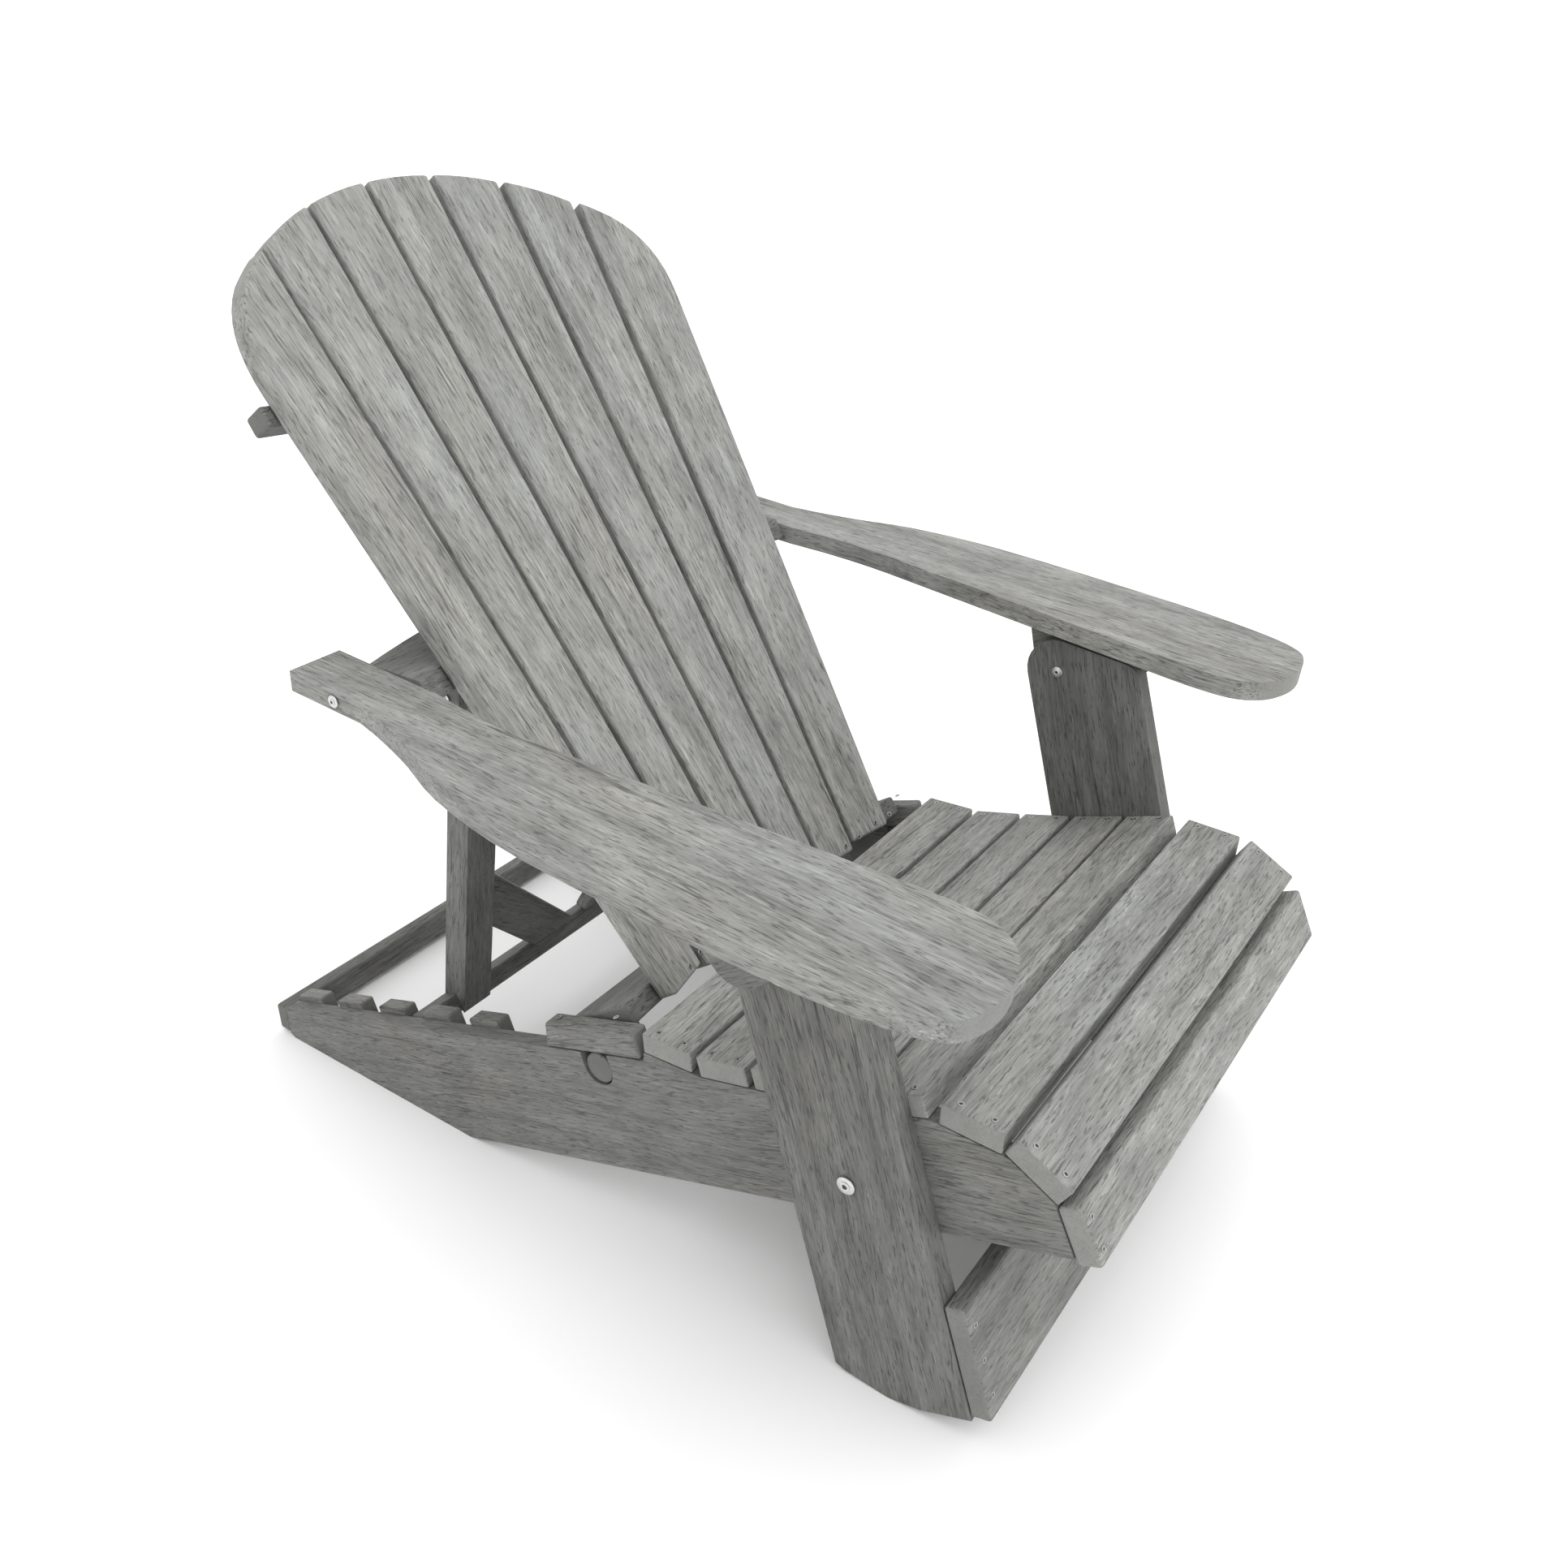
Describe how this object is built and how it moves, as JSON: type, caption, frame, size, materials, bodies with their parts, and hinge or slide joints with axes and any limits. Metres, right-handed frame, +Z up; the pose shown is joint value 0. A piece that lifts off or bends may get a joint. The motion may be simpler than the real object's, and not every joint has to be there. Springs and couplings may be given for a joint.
{
  "type": "adirondack chair",
  "caption": "Reclining board-built adirondack chair with a fanned back, broad arms, linked front legs and a rear prop that drops into toothed racks.",
  "frame": {"origin": "on the ground under the middle of the chair's length and width", "axes": "+Z up, -Y towards the front, where the sitter faces, +X to the sitter's left"},
  "size_m": [0.8536, 1.1223, 1.0167],
  "materials": {
    "lumber": "wood-grained weathered grey plastic lumber",
    "stainless": "bright stainless bolt heads"
  },
  "bodies": {
    "seat_frame": {"right_rail": "lumber", "left_rail": "lumber", "seat_slat_1": "lumber", "seat_slat_2": "lumber", "seat_slat_3": "lumber", "seat_slat_4": "lumber", "seat_slat_5": "lumber", "seat_slat_6": "lumber", "seat_slat_7": "lumber", "front_apron": "lumber", "rear_crossbar": "lumber", "right_rack": "lumber", "left_rack": "lumber", "right_pivot_cap": "lumber", "left_pivot_cap": "lumber", "right_leg_bolt": "stainless", "left_leg_bolt": "stainless"},
    "front_legs": {"right_front_leg": "lumber", "left_front_leg": "lumber", "front_crossbar": "lumber", "right_arm_front_bolt": "stainless", "left_arm_front_bolt": "stainless"},
    "back": {"back_slat_1": "lumber", "back_slat_2": "lumber", "back_slat_3": "lumber", "back_slat_4": "lumber", "back_slat_5": "lumber", "back_slat_6": "lumber", "back_slat_7": "lumber", "upper_brace": "lumber", "mid_brace": "lumber", "bottom_cleat": "lumber", "right_pivot_tongue": "lumber", "left_pivot_tongue": "lumber", "right_prop_lug": "lumber", "left_prop_lug": "lumber", "right_arm_rear_bolt": "stainless", "left_arm_rear_bolt": "stainless", "right_prop_bolt": "stainless", "left_prop_bolt": "stainless"},
    "right_arm_body": {"right_arm": "lumber", "right_arm_bracket": "lumber"},
    "left_arm_body": {"left_arm": "lumber", "left_arm_bracket": "lumber"},
    "prop": {"right_prop_leg": "lumber", "left_prop_leg": "lumber", "prop_bar": "lumber", "right_prop_brace": "lumber", "left_prop_brace": "lumber"}
  },
  "joints": [
    {"name": "back_tilt", "type": "hinge", "parent": "seat_frame", "child": "back", "pos_m": [0, -0.007, 0.21], "axis": [1, 0, 0], "range_deg": [0, 16]},
    {"name": "front_leg_swing", "type": "hinge", "parent": "seat_frame", "child": "front_legs", "pos_m": [0, -0.327, 0.249], "axis": [1, 0, 0], "range_deg": [0, 24]},
    {"name": "right_arm_swing", "type": "hinge", "parent": "back", "child": "right_arm_body", "pos_m": [-0.33, 0.231, 0.596], "axis": [1, 0, 0], "range_deg": [-13, 0]},
    {"name": "left_arm_swing", "type": "hinge", "parent": "back", "child": "left_arm_body", "pos_m": [0.33, 0.231, 0.596], "axis": [1, 0, 0], "range_deg": [-13, 0]},
    {"name": "prop_swing", "type": "hinge", "parent": "back", "child": "prop", "pos_m": [0, 0.2207, 0.553], "axis": [1, 0, 0], "range_deg": [0, 5]}
  ],
  "couplings": [
    {"joint": "front_leg_swing", "follows": "back_tilt", "ratio": 1.4461},
    {"joint": "right_arm_swing", "follows": "back_tilt", "ratio": -0.7653},
    {"joint": "left_arm_swing", "follows": "back_tilt", "ratio": -0.7653},
    {"joint": "prop_swing", "follows": "back_tilt", "ratio": 0.25}
  ]
}
